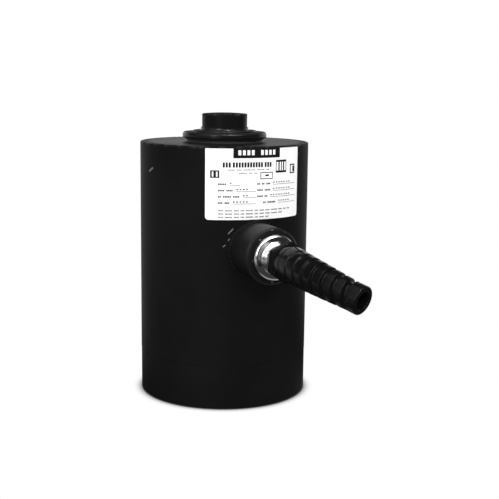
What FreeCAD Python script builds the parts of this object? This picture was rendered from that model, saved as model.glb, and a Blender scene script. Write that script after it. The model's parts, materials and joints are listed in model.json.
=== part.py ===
import FreeCAD, Part
import math
import os

from FreeCAD import Rotation, Vector

# Compression canister load cell: a black painted steel can with a load button
# on top, strain gauged column inside, and a cable gland with a spiral strain
# relief on its side. Millimetres, +Z up, origin at the middle of the underside,
# the cable gland and the data label look along -Y.

# Can
body_radius = 54.0
body_height = 162.2
tube_wall = 5.0
rim_rounding = 0.8
fit_gap = 0.05

# Base
base_height = 27.8
base_step = 0.12
base_edge = 1.5
seam_bevel = 0.1
spigot_height = 6.2
bolt_circle = 76.2
bolt_hole_radius = 3.97
bolt_hole_depth = 16.0
bolt_count = 4
bolt_first = 45.0
socket_depth = 12.0
purge_wall = 5.0
purge_radius = 4.0
purge_depth = 10.0
purge_recess = 1.0
purge_vent_radius = 1.5
purge_socket = 4.0

# Sensing column
foot_radius = 24.0
foot_height = 7.0
column_radius = 19.0
column_flare = 1.0
gauge_width = 27.0
flat_below = 22.0
flat_above = 24.0
gauge_fillet = 5.0
button_radius = 14.5
stem_step = 0.2
button_rise = 18.3
button_crown = 152.4
button_edge = 0.8
retainer_gap = 0.5

# Diaphragms that keep the column upright
diaphragm_thick = 1.0
diaphragm_space = 14.0
rim_width = 8.0
clamp_thick = 5.0
nut_height = 6.0
nut_gap = 1.0
nut_slot = 4.0
nut_slot_depth = 2.5
nut_slots = 4
screw_count = 8
screw_first = 22.5
screw_radius = 2.0
screw_bite = 5.0
screw_head_radius = 3.5
screw_head_height = 4.0
screw_key = 3.0
screw_clearance = 0.2
tap_runout = 1.0

# Top plate and the seal round the button
plate_thick = 10.0
plate_bore = 20.5
neck_wall = 3.7
neck_height = 3.0
neck_fillet = 0.6
sheet = 0.5
disc_rise = 4.1
disc_corner = 0.6
sleeve_height = 2.0
sleeve_fillet = 1.3
brim_step = 0.3
lip_reach = 2.8
lip_rise = 3.1
lip_rounding = 1.5
lip_under = 0.8
lip_drop = 0.5
skirt_drop = 1.6

# Strain gauges, 4 along the column and 4 across it
gauge_long = 10.0
gauge_short = 6.0
gauge_film = 0.1
gauge_grid = 0.06
gauge_tab = 1.4
gauge_grid_share = 0.6
gauge_apart = 6.0
lead_straight = 6.85

# Bridge board
board_bore_gap = 3.0
board_rim_gap = 6.0
board_thick = 1.6
standoff_height = 22.0
standoff_inset = 6.0
standoff_radius = 2.75
standoff_count = 4
standoff_first = 58.0
board_screw_radius = 1.5
board_screw_bite = 5.0
board_screw_head = 2.75
board_screw_head_height = 1.8
pin_inset = 5.0
pin_radius = 0.6
pin_below = 2.0
pin_above = 3.0
pin_spread = 9.0
resistor_inset = 8.0
resistor_first = 26.0
resistor_radius = 2.0
resistor_length = 9.0
resistor_lead = 0.4
resistor_span = 13.0
wire_radius = 0.45
wire_bend = 4.0

# Cable gland, by distance s from the can's axis along -Y
boss_radius = 17.1
boss_length = 23.5
boss_chamfer = 1.2
thread_radius = 10.0
thread_depth = 19.0
wire_hole_radius = 8.0
weld_leg = 1.9
weld_round = 0.5
washer_radius = 12.8
washer_thick = 2.0
flange_radius = 13.5
flange_thick = 3.1
flange_bevel = 0.7
hub_radius = 10.1
hub_length = 11.8
gland_bore = 5.6
shank_length = 17.0
collet_radius = 9.0
collet_length = 5.5
grommet_radius = 7.4
grommet_length = 6.0
slip_thick = 0.8

# Hex nut and spiral strain relief, moulded as one piece
hex_flats = 21.5
hex_turn = 24.9
hex_length = 6.1
hex_front = 2.0
hex_back = 0.3
cavity_length = 7.0
root_length = 11.6
root_turn = 3.55
bend_length = 51.8
bend_turn = 27.9
bend_aim = -25.6
collar_length = 5.5
boot_radius = 10.6
boot_tip = 8.02
boot_bulge = 0.3
collar_radius = 8.15
collar_edge = 1.0
cable_radius = 5.25
groove_pitch = 7.05
groove_turns = 7.4
groove_first = 10.4
groove_start_turn = 90.0
groove_shallow = 0.5
groove_deep = 1.8
groove_floor = 0.9
groove_flare = 0.8
groove_reach = 3.0
core_stations = 12
points_per_turn = 12
turns_per_cut = 1.0
cut_overlap = 0.03

# Data label, a thin plate bent round the can
label_half_angle = 34.1
label_margin = 1.0
label_tall = 42.7
label_thick = 0.3
label_corner = 2.0

up = Vector(0, 0, 1)


def save(name, shape):
    shape.exportStep("parts/" + name + ".step")


def fuse_all(shapes):
    whole = shapes[0]
    for shape in shapes[1:]:
        whole = whole.fuse(shape)
    return whole


def around(count, first=0.0):
    return [first + 360.0 * k / count for k in range(count)]


def polar(radius, angle, height=0.0):
    turn = math.radians(angle)
    return Vector(radius * math.cos(turn), radius * math.sin(turn), height)


def rod(radius, low, high, x=0.0, y=0.0):
    return Part.makeCylinder(radius, high - low, Vector(x, y, low))


def ring(inner, outer, low, high):
    return rod(outer, low, high).cut(rod(inner, low, high))


def turned(points):
    # points are (radius, height) pairs; a point with a third value starts an
    # arc through it to the next pair
    edges = []
    last = Vector(points[0][0], 0, points[0][1])
    middle = None
    for point in points[1:] + points[:1]:
        here = Vector(point[0], 0, point[1])
        if len(point) == 3:
            middle = here
            continue
        if middle is None:
            edges.append(Part.LineSegment(last, here).toShape())
        else:
            edges.append(Part.Arc(last, middle, here).toShape())
            middle = None
        last = here
    face = Part.Face(Part.Wire(edges))
    return face.revolve(Vector(0, 0, 0), up, 360)


def corner(centre_radius, centre_height, radius, start, end):
    # the middle and the end of a round corner in a turned profile
    points = []
    for angle in ((start + end) / 2, end):
        turn = math.radians(angle)
        points.append((centre_radius + radius * math.cos(turn), centre_height + radius * math.sin(turn)))
    return (points[0][0], points[0][1], "arc"), points[1]


def along_gland(shape):
    # turns a shape made about Z into the cable gland's axis, +Z to -Y
    shape.rotate(Vector(0, 0, 0), Vector(1, 0, 0), 90)
    shape.translate(Vector(0, 0, gland_height))
    return shape


def socket_key(width, low, high, x, y):
    corners = [Vector(x, y, low) + polar(width / math.sqrt(3), angle) for angle in around(6)]
    return Part.Face(Part.makePolygon(corners + corners[:1])).extrude(Vector(0, 0, high - low))


# Places worked out from the sizes above
spigot_top = base_height + spigot_height
socket_floor = spigot_top - socket_depth
foot_top = socket_floor + foot_height
purge_place = foot_radius + purge_wall + purge_radius
tube_inner = body_radius - tube_wall
insert_radius = tube_inner - fit_gap
plate_low = body_height - plate_thick
upper_low = plate_low - diaphragm_thick
spacer_low = upper_low - diaphragm_space
lower_low = spacer_low - diaphragm_thick
clamp_low = lower_low - clamp_thick
neck_top = body_height + neck_height
disc_radius = plate_bore
disc_top = neck_top + disc_rise
sleeve_top = disc_top + sleeve_height
neck_radius = plate_bore + neck_wall
lip_radius = neck_radius + lip_reach
lip_top = neck_top + lip_rise
lip_low = neck_top - lip_drop
lip_skirt = neck_top - skirt_drop
button_top = body_height + button_rise
screw_circle = insert_radius - rim_width / 2
stem_radius = button_radius + stem_step
stem_bore = stem_radius + fit_gap
nut_radius = plate_bore - nut_gap
board_height = spigot_top + standoff_height
board_top = board_height + board_thick
board_inner = column_radius + board_bore_gap
board_outer = tube_inner - board_rim_gap
standoff_circle = board_outer - standoff_inset
resistor_circle = board_outer - resistor_inset
pin_circle = board_inner + pin_inset
lead_height = board_top + pin_above - wire_radius
lead_top = lead_height + wire_bend + lead_straight
cross_height = lead_top + gauge_short / 2
axial_height = cross_height + gauge_short / 2 + gauge_apart + gauge_long / 2
gauge_low = cross_height - flat_below
gauge_high = axial_height + flat_above
boss_end = body_radius + boss_length
label_high = body_height - label_margin
label_low = label_high - label_tall
gland_height = label_low - weld_leg - boss_radius


def base_plate():
    radius = body_radius - base_step
    profile = [(0, 0), (radius - base_edge, 0)]
    profile += corner(radius - base_edge, base_edge, base_edge, -90, 0)
    profile += [(radius, base_height - seam_bevel), (radius - seam_bevel, base_height),
                (insert_radius, base_height), (insert_radius, spigot_top),
                (foot_radius + fit_gap, spigot_top), (foot_radius + fit_gap, socket_floor),
                (0, socket_floor)]
    shape = turned(profile)
    for angle in around(bolt_count, bolt_first):
        place = polar(bolt_circle / 2, angle)
        shape = shape.cut(rod(bolt_hole_radius, 0, bolt_hole_depth, place.x, place.y))
    vent = rod(purge_vent_radius, 0, spigot_top, purge_place)
    shape = shape.cut(rod(purge_radius, 0, purge_depth, purge_place).fuse(vent))
    save("base_plate", shape)


def purge_plug():
    plug = rod(purge_radius - fit_gap, purge_recess, purge_depth, purge_place)
    key = socket_key(purge_socket, purge_recess, purge_depth / 2, purge_place, 0)
    save("purge_plug", plug.cut(key))


def housing_tube():
    profile = [(tube_inner, base_height), (body_radius - seam_bevel, base_height),
               (body_radius, base_height + seam_bevel), (body_radius, body_height - rim_rounding)]
    profile += corner(body_radius - rim_rounding, body_height - rim_rounding, rim_rounding, 0, 90)
    profile += [(tube_inner, body_height)]
    wire_hole = along_gland(rod(wire_hole_radius, tube_inner - tube_wall, body_radius + tube_wall))
    save("housing_tube", turned(profile).cut(wire_hole))


def top_plate():
    profile = [(plate_bore, plate_low), (insert_radius, plate_low), (insert_radius, body_height),
               (neck_radius + neck_fillet, body_height)]
    profile += corner(neck_radius + neck_fillet, body_height + neck_fillet, neck_fillet, -90, -180)
    profile += [(neck_radius, neck_top), (plate_bore, neck_top)]
    shape = turned(profile)
    for angle in around(screw_count, screw_first):
        place = polar(screw_circle, angle)
        shape = shape.cut(rod(screw_radius, plate_low, plate_low + screw_bite + tap_runout, place.x, place.y))
    save("top_plate", shape)


def seal_diaphragm():
    sleeve = stem_bore + sheet
    profile = [(stem_bore, sleeve_top), (sleeve, sleeve_top), (sleeve, disc_top + sleeve_fillet)]
    profile += corner(sleeve + sleeve_fillet, disc_top + sleeve_fillet, sleeve_fillet, 180, 270)
    profile += [(disc_radius - disc_corner, disc_top)]
    profile += corner(disc_radius - disc_corner, disc_top - disc_corner, disc_corner, 90, 0)
    brim = neck_radius - brim_step
    profile += [(disc_radius, neck_top + sheet), (brim, neck_top + sheet), (brim, neck_top),
                (disc_radius - sheet, neck_top), (disc_radius - sheet, disc_top - disc_corner),
                (disc_radius - disc_corner, disc_top - sheet)]
    profile += [(sleeve + sleeve_fillet, disc_top - sheet)]
    profile += corner(sleeve + sleeve_fillet, disc_top + sleeve_fillet, sleeve_fillet + sheet, 270, 180)
    save("seal_diaphragm", turned(profile))


def seal_ring():
    inner = disc_radius + fit_gap
    collar = neck_radius + fit_gap
    profile = [(inner, neck_top + sheet), (inner, lip_top), (lip_radius - lip_rounding, lip_top)]
    profile += corner(lip_radius - lip_rounding, lip_top - lip_rounding, lip_rounding, 90, 0)
    profile += [(lip_radius, lip_low + lip_under)]
    profile += corner(lip_radius - lip_under, lip_low + lip_under, lip_under, 0, -90)
    profile += [(collar + neck_fillet, lip_skirt), (collar, lip_skirt), (collar, neck_top + sheet)]
    save("seal_ring", turned(profile))


def sensing_column():
    edge_radius = button_radius - button_edge
    crown_centre = button_top - button_crown
    edge_height = crown_centre + math.sqrt(button_crown**2 - edge_radius**2)
    half_radius = edge_radius / 2
    half_height = crown_centre + math.sqrt(button_crown**2 - half_radius**2)
    flare = column_radius + column_flare
    profile = [(0, socket_floor), (foot_radius, socket_floor), (foot_radius, foot_top), (flare, foot_top),
               (flare, spigot_top), (column_radius, spigot_top + column_flare), (column_radius, lower_low),
               (stem_radius, lower_low), (stem_radius, sleeve_top), (button_radius, sleeve_top),
               (button_radius, edge_height - button_edge)]
    profile += corner(edge_radius, edge_height - button_edge, button_edge, 0, 90)
    profile += [(half_radius, half_height, "arc"), (0, button_top)]
    shape = turned(profile)
    half = gauge_width / 2
    length = gauge_high - gauge_low
    for angle in around(4):
        block = Part.makeBox(foot_radius, 2 * foot_radius, length, Vector(half, -foot_radius, gauge_low))
        middle = [Vector(half, 0, gauge_low), Vector(half, 0, gauge_high)]
        ends = [e for e in block.Edges if min((e.CenterOfMass - m).Length for m in middle) < fit_gap]
        block = block.makeFillet(gauge_fillet, ends)
        block.rotate(Vector(0, 0, 0), up, angle)
        shape = shape.cut(block)
    save("sensing_column", shape)


def foot_retainer():
    inner = column_radius + column_flare + retainer_gap
    shape = ring(inner, foot_radius - fit_gap, foot_top, spigot_top)
    for angle in around(nut_slots):
        start = Vector(0, -nut_slot / 2, spigot_top - nut_slot_depth)
        slot = Part.makeBox(foot_radius, nut_slot, nut_slot_depth, start)
        slot.rotate(Vector(0, 0, 0), up, angle)
        shape = shape.cut(slot)
    save("foot_retainer", shape)


def drilled(shape, low, high):
    for angle in around(screw_count, screw_first):
        place = polar(screw_circle, angle)
        shape = shape.cut(rod(screw_radius + screw_clearance, low, high, place.x, place.y))
    return shape


def diaphragms():
    for name, low in (("lower_diaphragm", lower_low), ("upper_diaphragm", upper_low)):
        high = low + diaphragm_thick
        save(name, drilled(ring(stem_bore, insert_radius, low, high), low, high))


def spacers():
    save("hub_spacer", ring(stem_bore, column_radius, spacer_low, upper_low))
    outer = ring(insert_radius - rim_width, insert_radius, spacer_low, upper_low)
    save("diaphragm_spacer", drilled(outer, spacer_low, upper_low))
    clamp = ring(insert_radius - rim_width, insert_radius, clamp_low, lower_low)
    save("clamp_ring", drilled(clamp, clamp_low, lower_low))


def column_nut():
    high = plate_low + nut_height
    shape = ring(stem_bore, nut_radius, plate_low, high)
    for angle in around(nut_slots):
        start = Vector(nut_radius - nut_slot_depth, -nut_slot / 2, plate_low)
        slot = Part.makeBox(nut_slot_depth, nut_slot, nut_height, start)
        slot.rotate(Vector(0, 0, 0), up, angle)
        shape = shape.cut(slot)
    save("column_nut", shape)


def diaphragm_screws():
    screws = []
    for angle in around(screw_count, screw_first):
        place = polar(screw_circle, angle)
        head_low = clamp_low - screw_head_height
        shank = rod(screw_radius - fit_gap, clamp_low, plate_low + screw_bite, place.x, place.y)
        head = rod(screw_head_radius, head_low, clamp_low, place.x, place.y)
        key = socket_key(screw_key, head_low, head_low + screw_head_height / 2, place.x, place.y)
        screws.append(shank.fuse(head).cut(key))
    save("diaphragm_screws", Part.makeCompound(screws))


def gauge(name, angle, height, wide, tall):
    face = gauge_width / 2
    film = Part.makeBox(gauge_film, wide, tall, Vector(face, -wide / 2, height - tall / 2))
    grid_wide = wide * gauge_grid_share
    grid_tall = tall * gauge_grid_share
    skin = face + gauge_film
    start = Vector(skin, -grid_wide / 2, height - grid_tall / 2)
    parts = [film, Part.makeBox(gauge_grid, grid_wide, grid_tall, start)]
    for side in (-1, 1):
        middle = side * (grid_wide / 2 - gauge_tab / 2)
        start = Vector(skin, middle - gauge_tab / 2, height - tall / 2)
        parts.append(Part.makeBox(gauge_grid, gauge_tab, (tall - grid_tall) / 2, start))
    shape = fuse_all(parts).removeSplitter()
    shape.rotate(Vector(0, 0, 0), up, angle)
    save(name, shape)


def gauges():
    for number, angle in enumerate(around(4), 1):
        gauge("axial_gauge_%d" % number, angle, axial_height, gauge_short, gauge_long)
        gauge("transverse_gauge_%d" % number, angle, cross_height, gauge_long, gauge_short)


def pin_places():
    return [polar(pin_circle, angle + pin_spread * side) for angle in around(4) for side in (-1, 0, 1)]


def bridge_board():
    shape = ring(board_inner, board_outer, board_height, board_top)
    standoffs = [polar(standoff_circle, angle) for angle in around(standoff_count, standoff_first)]
    holes = [(place, board_screw_radius + screw_clearance) for place in standoffs]
    holes += [(place, pin_radius + fit_gap) for place in pin_places()]
    for place, radius in holes:
        shape = shape.cut(rod(radius, board_height, board_top, place.x, place.y))
    save("bridge_board", shape)
    low, high = board_height - pin_below, board_top + pin_above
    save("terminal_pins", Part.makeCompound([rod(pin_radius, low, high, p.x, p.y) for p in pin_places()]))
    posts = []
    screws = []
    for place in standoffs:
        screw_low = board_height - board_screw_bite
        tapped = rod(board_screw_radius, screw_low - tap_runout, board_height, place.x, place.y)
        posts.append(rod(standoff_radius, spigot_top, board_height, place.x, place.y).cut(tapped))
        shank = rod(board_screw_radius - fit_gap, screw_low, board_top, place.x, place.y)
        head = rod(board_screw_head, board_top, board_top + board_screw_head_height, place.x, place.y)
        screws.append(shank.fuse(head))
    save("board_standoffs", Part.makeCompound(posts))
    save("board_screws", Part.makeCompound(screws))


def resistor(name, angle):
    centre = polar(resistor_circle, angle, board_top + resistor_radius)
    along = polar(1, angle + 90)
    start = centre - along * (resistor_length / 2)
    parts = [Part.makeCylinder(resistor_radius, resistor_length, start, along)]
    for side in (-1, 1):
        lead_end = centre + along * (side * resistor_span / 2)
        parts.append(Part.makeCylinder(resistor_lead, resistor_span / 2, centre, along * side))
        parts.append(Part.makeSphere(resistor_lead, lead_end))
        parts.append(Part.makeCylinder(resistor_lead, resistor_radius, lead_end, Vector(0, 0, -1)))
    save(name, fuse_all(parts))


def resistors():
    names = ("modulus_resistor_1", "span_resistor", "modulus_resistor_2", "zero_resistor")
    for name, angle in zip(names, around(len(names), resistor_first)):
        resistor(name, angle)


def gauge_wiring():
    # a lead from each pair of gauges, down the column and out to its pin
    wires = []
    start_radius = gauge_width / 2 + gauge_film + gauge_grid + wire_radius
    end_radius = pin_circle - pin_radius
    bend = wire_bend * (1 - math.sqrt(0.5))
    for angle in around(4):
        out = polar(1, angle)
        top = out * start_radius + up * lead_top
        bend_top = out * start_radius + up * (lead_height + wire_bend)
        bend_mid = out * (start_radius + bend) + up * (lead_height + bend)
        bend_end = out * (start_radius + wire_bend) + up * lead_height
        end = out * end_radius + up * lead_height
        down_run = Part.LineSegment(top, bend_top).toShape()
        curve = Part.Arc(bend_top, bend_mid, bend_end).toShape()
        out_run = Part.LineSegment(bend_end, end).toShape()
        path = Part.Wire([down_run, curve, out_run])
        section = Part.Wire([Part.makeCircle(wire_radius, top, Vector(0, 0, -1))])
        wires.append(path.makePipeShell([section], True, False))
    save("gauge_wiring", Part.makeCompound(wires))


def gland_boss():
    thread_end = boss_end - thread_depth
    profile = [(wire_hole_radius, tube_inner), (boss_radius, tube_inner),
               (boss_radius, boss_end - boss_chamfer), (boss_radius - boss_chamfer, boss_end),
               (thread_radius, boss_end), (thread_radius, thread_end), (wire_hole_radius, thread_end)]
    shape = along_gland(turned(profile)).cut(rod(body_radius, 0, body_height))
    save("gland_boss", shape)


def gland_weld():
    # the bead in the corner between the can and the boss, its outer edge rounded
    outer = boss_radius + weld_leg
    collar = along_gland(ring(boss_radius, outer, 0, body_radius + weld_leg + tube_wall))
    skin = ring(body_radius, body_radius + weld_leg, gland_height - 2 * outer, gland_height + 2 * outer)
    bead = collar.common(skin)
    # the crest is the edge that lies furthest from the boss and from the can
    corner_place = Vector(outer, -math.sqrt((body_radius + weld_leg)**2 - outer**2), gland_height)
    mark = Part.Vertex(corner_place)
    crest = [edge for edge in bead.Edges if edge.distToShape(mark)[0] < fit_gap]
    save("gland_weld", bead.makeFillet(weld_leg * weld_round, crest))


def sealing_washer():
    save("sealing_washer", along_gland(ring(thread_radius + fit_gap, washer_radius, boss_end, flange_low)))


flange_low = boss_end + washer_thick
flange_high = flange_low + flange_thick
hub_end = flange_high + hub_length
collet_end = hub_end + collet_length
boot_start = hub_end


def gland_body():
    shank = thread_radius - fit_gap
    pocket = collet_end - grommet_length
    profile = [(gland_bore, boss_end - shank_length), (shank, boss_end - shank_length), (shank, flange_low),
               (flange_radius - flange_bevel, flange_low), (flange_radius, flange_low + flange_bevel),
               (flange_radius, flange_high - flange_bevel), (flange_radius - flange_bevel, flange_high),
               (hub_radius, flange_high), (hub_radius, hub_end), (collet_radius, hub_end),
               (collet_radius, collet_end), (grommet_radius, collet_end), (grommet_radius, pocket),
               (gland_bore, pocket)]
    save("gland_body", along_gland(turned(profile)))


def gland_inserts():
    low = collet_end - grommet_length
    grommet = ring(gland_bore, grommet_radius - fit_gap, low, collet_end)
    save("gland_grommet", along_gland(grommet))
    slip = ring(gland_bore, collet_radius, collet_end, collet_end + slip_thick)
    save("gland_slip_ring", along_gland(slip))


def bent(frame, length, turn, aim, distance):
    # a frame carried along an arc of this length and turn, bending towards aim
    place, right, top, ahead = frame
    towards = right * math.cos(math.radians(aim)) + top * math.sin(math.radians(aim))
    radius = length / math.radians(turn)
    angle = distance / radius
    swing = Rotation(ahead.cross(towards), math.degrees(angle))
    moved = place + ahead * (radius * math.sin(angle)) + towards * (radius * (1 - math.cos(angle)))
    return moved, swing.multVec(right), swing.multVec(top), swing.multVec(ahead)


boot_root = (Vector(0, -boot_start, gland_height), Vector(1, 0, 0), Vector(0, 0, 1), Vector(0, -1, 0))
root_end = bent(boot_root, root_length, root_turn, -90.0, root_length)
bend_end = bent(root_end, bend_length, bend_turn, bend_aim, bend_length)
collar_start = root_length + bend_length
boot_length = collar_start + collar_length


def boot_frame(distance):
    if distance < root_length:
        return bent(boot_root, root_length, root_turn, -90.0, distance)
    if distance < collar_start:
        return bent(root_end, bend_length, bend_turn, bend_aim, distance - root_length)
    place, right, top, ahead = bend_end
    return place + ahead * (distance - collar_start), right, top, ahead


def boot_outside(distance):
    if distance > collar_start:
        return collar_radius
    share = distance / collar_start
    return boot_radius + (boot_tip - boot_radius) * share + 4 * boot_bulge * share * (1 - share)


def boot_circle(distance, radius):
    place, right, top, ahead = boot_frame(distance)
    return Part.Wire([Part.makeCircle(radius, place, ahead)])


def boot_spine():
    bend_middle = (root_length + collar_start) / 2
    root = Part.Arc(boot_frame(0)[0], boot_frame(root_length / 2)[0], root_end[0])
    bend = Part.Arc(root_end[0], boot_frame(bend_middle)[0], bend_end[0])
    collar = Part.LineSegment(bend_end[0], boot_frame(boot_length)[0])
    return Part.Wire([root.toShape(), bend.toShape(), collar.toShape()])


def groove_point(turns):
    # a point on the groove's floor, its outward direction, this many turns from the groove's start
    share = turns / groove_turns
    distance = groove_first + groove_pitch * turns
    angle = math.radians(groove_start_turn + 360.0 * turns)
    place, right, top, ahead = boot_frame(distance)
    outward = right * math.cos(angle) + top * math.sin(angle)
    depth = groove_shallow + (groove_deep - groove_shallow) * share
    return place + outward * (boot_outside(distance) - depth), outward


def groove_cutter(first, last):
    steps = math.ceil((last - first) * points_per_turn)
    points = [groove_point(first + (last - first) * k / steps)[0] for k in range(steps + 1)]
    curve = Part.BSplineCurve()
    curve.interpolate(points)
    floor, outward = groove_point(first)
    heading = curve.tangent(curve.FirstParameter)[0]
    side = heading.cross(outward).normalize()
    near = side * groove_floor
    far = side * (groove_floor + groove_flare)
    lift = outward * groove_reach
    corners = [floor - near, floor + near, floor + lift + far, floor + lift - far]
    sweep = Part.BRepOffsetAPI.MakePipeShell(Part.Wire([curve.toShape()]))
    sweep.setFrenetMode(True)
    sweep.add(Part.makePolygon(corners + corners[:1]), False, False)
    sweep.build()
    sweep.makeSolid()
    return sweep.shape()


def hex_nut():
    low = boot_start
    high = boot_start + hex_length
    outer = hex_flats / math.sqrt(3)
    corners = [polar(outer, angle, low) for angle in around(6, hex_turn)]
    prism = Part.Face(Part.makePolygon(corners + corners[:1])).extrude(Vector(0, 0, hex_length))
    front = boot_outside(hex_length)
    blank = turned([(0, low), (outer - hex_back, low), (outer, low + hex_back), (outer, high - hex_front),
                    (front, high), (0, high)])
    shape = along_gland(prism.common(blank))
    return shape


def strain_relief_boot():
    # the sheath: cones between rings set square to the bent centre line
    first = hex_length - hex_front
    rings = [first + (collar_start - first) * k / core_stations for k in range(core_stations + 1)]
    sheath = Part.makeLoft([boot_circle(s, boot_outside(s)) for s in rings], True, True)
    turns = 0.0
    while turns < groove_turns:
        last = min(turns + turns_per_cut, groove_turns)
        lap = cut_overlap if last < groove_turns else 0.0
        sheath = sheath.cut(groove_cutter(turns, last + lap))
        turns = last
    tip, right, top, ahead = boot_frame(boot_length)
    collar = Part.makeCylinder(collar_radius, collar_length, bend_end[0], ahead)
    rim = [e for e in collar.Edges if (e.CenterOfMass - tip).Length < fit_gap]
    collar = collar.makeFillet(collar_edge, rim)
    shape = hex_nut().fuse(sheath).fuse(collar)
    bore = boot_spine().makePipeShell([boot_circle(0, cable_radius)], True, False)
    cavity = along_gland(rod(collet_radius + fit_gap, boot_start, boot_start + cavity_length))
    save("strain_relief_boot", shape.cut(bore).cut(cavity))


def data_label():
    height = label_high - label_low
    foot = Vector(0, 0, label_low)
    shell = Part.makeCylinder(body_radius + label_thick, height, foot, up, 2 * label_half_angle)
    shell = shell.cut(rod(body_radius, label_low, label_high))
    shell.rotate(Vector(0, 0, 0), up, -90 - label_half_angle)
    # the two lower corners are rounded: what lies outside the round is taken off
    corner_angle = label_half_angle - math.degrees(label_corner / body_radius)
    for side in (-1, 1):
        below = Vector(0, 0, -2 * label_corner)
        block = Part.makeBox(2 * label_corner, tube_wall, 2 * label_corner, below)
        block.translate(Vector(0, body_radius - tube_wall / 2, 0))
        pin = Part.makeCylinder(label_corner, body_radius, Vector(0, body_radius / 2, 0), Vector(0, 1, 0))
        outside = block.cut(pin)
        if side > 0:
            outside = outside.mirror(Vector(0, 0, 0), Vector(1, 0, 0))
        outside.translate(Vector(0, 0, label_low + label_corner))
        outside.rotate(Vector(0, 0, 0), up, 180 + side * corner_angle)
        shell = shell.cut(outside)
    save("data_label", shell)


base_plate()
purge_plug()
housing_tube()
top_plate()
seal_diaphragm()
seal_ring()
sensing_column()
foot_retainer()
diaphragms()
spacers()
column_nut()
diaphragm_screws()
gauges()
bridge_board()
resistors()
gauge_wiring()
gland_boss()
gland_weld()
sealing_washer()
gland_body()
gland_inserts()
strain_relief_boot()
data_label()
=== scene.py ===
import json
import math

import bpy
from mathutils import Matrix, Vector, noise


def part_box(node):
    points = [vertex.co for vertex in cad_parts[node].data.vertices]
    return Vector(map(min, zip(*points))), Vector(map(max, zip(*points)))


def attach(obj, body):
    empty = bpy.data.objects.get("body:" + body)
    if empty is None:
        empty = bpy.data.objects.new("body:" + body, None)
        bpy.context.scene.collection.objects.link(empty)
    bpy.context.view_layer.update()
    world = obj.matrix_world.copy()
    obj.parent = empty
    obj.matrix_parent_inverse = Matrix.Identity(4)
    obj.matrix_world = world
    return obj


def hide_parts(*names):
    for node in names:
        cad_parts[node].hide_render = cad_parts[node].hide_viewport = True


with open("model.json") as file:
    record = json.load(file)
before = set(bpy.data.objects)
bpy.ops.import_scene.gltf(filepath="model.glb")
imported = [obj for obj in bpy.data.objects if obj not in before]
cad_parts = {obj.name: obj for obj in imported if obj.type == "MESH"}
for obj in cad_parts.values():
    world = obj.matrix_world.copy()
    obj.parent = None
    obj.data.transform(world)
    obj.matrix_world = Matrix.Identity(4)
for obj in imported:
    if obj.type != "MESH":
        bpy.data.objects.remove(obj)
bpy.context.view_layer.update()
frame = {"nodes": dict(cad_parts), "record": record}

# The look of a black painted canister load cell, in metres, +Z up, with its gland looking along -Y

nodes = frame["nodes"]
bpy.ops.object.select_all(action="DESELECT")
scene = bpy.context.scene
scene.view_settings.view_transform = "Standard"
mm = 0.001

# The can, its seal and button, the gland and the boot's start, read from the frame
sleeve_height = 2.0
body_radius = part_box("housing_tube")[1].x
body_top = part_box("housing_tube")[1].z
boss_low, boss_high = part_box("gland_boss")
gland_height = (boss_low.z + boss_high.z) / 2
boss_radius = (boss_high.z - boss_low.z) / 2
boss_end = -boss_low.y
boot_start = -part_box("strain_relief_boot")[1].y
flange_low = -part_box("sealing_washer")[0].y
label_low, label_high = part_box("data_label")
button_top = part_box("sensing_column")[1].z
lip_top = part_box("seal_ring")[1].z
disc_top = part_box("seal_diaphragm")[1].z - sleeve_height * mm

# Camera
camera_place = Vector((-0.2426, -0.6004, 0.2030))
camera_pitch = 0.1706
camera_yaw = 0.0262
camera_roll = 0.0118
photo_turn = -22.0
camera_lens = 72.16


def make_camera():
    ahead = Vector((math.sin(camera_yaw) * math.cos(camera_pitch),
                    math.cos(camera_yaw) * math.cos(camera_pitch), -math.sin(camera_pitch)))
    right = Vector((math.cos(camera_yaw), -math.sin(camera_yaw), 0))
    top = right.cross(ahead)
    turned_right = math.cos(camera_roll) * right + math.sin(camera_roll) * top
    turned_top = -math.sin(camera_roll) * right + math.cos(camera_roll) * top
    axes = Matrix((turned_right, turned_top, -ahead)).transposed()
    turn = Matrix.Rotation(math.radians(photo_turn), 3, "Z")
    data = bpy.data.cameras.new("camera")
    data.lens = camera_lens
    camera = bpy.data.objects.new("camera", data)
    scene.collection.objects.link(camera)
    camera.matrix_world = Matrix.Translation(camera_place) @ (turn @ axes).to_4x4()
    scene.camera = camera


# Helpers for shader nodes
def feed(tree, socket, value):
    if isinstance(value, bpy.types.NodeSocket):
        tree.links.new(value, socket)
    else:
        socket.default_value = value


def add(tree, kind, settings=None, **inputs):
    made = tree.nodes.new("ShaderNode" + kind)
    for name, value in (settings or {}).items():
        setattr(made, name, value)
    for name, value in inputs.items():
        feed(tree, made.inputs[name.replace("_", " ")], value)
    return made


def calc(tree, operation, *values):
    made = tree.nodes.new("ShaderNodeMath")
    made.operation = operation
    for socket, value in zip(made.inputs, values):
        feed(tree, socket, value)
    return made.outputs[0]


def vector_calc(tree, operation, *values):
    made = tree.nodes.new("ShaderNodeVectorMath")
    made.operation = operation
    for socket, value in zip(made.inputs, values):
        feed(tree, socket, value)
    return made.outputs["Value" if operation in ("LENGTH", "DOT_PRODUCT", "DISTANCE") else "Vector"]


def ramp(tree, value, low, high, to_low=0.0, to_high=1.0, smooth=False):
    made = tree.nodes.new("ShaderNodeMapRange")
    made.interpolation_type = "SMOOTHSTEP" if smooth else "LINEAR"
    for name, given in (("Value", value), ("From Min", low), ("From Max", high),
                        ("To Min", to_low), ("To Max", to_high)):
        feed(tree, made.inputs[name], given)
    return made.outputs["Result"]


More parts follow.
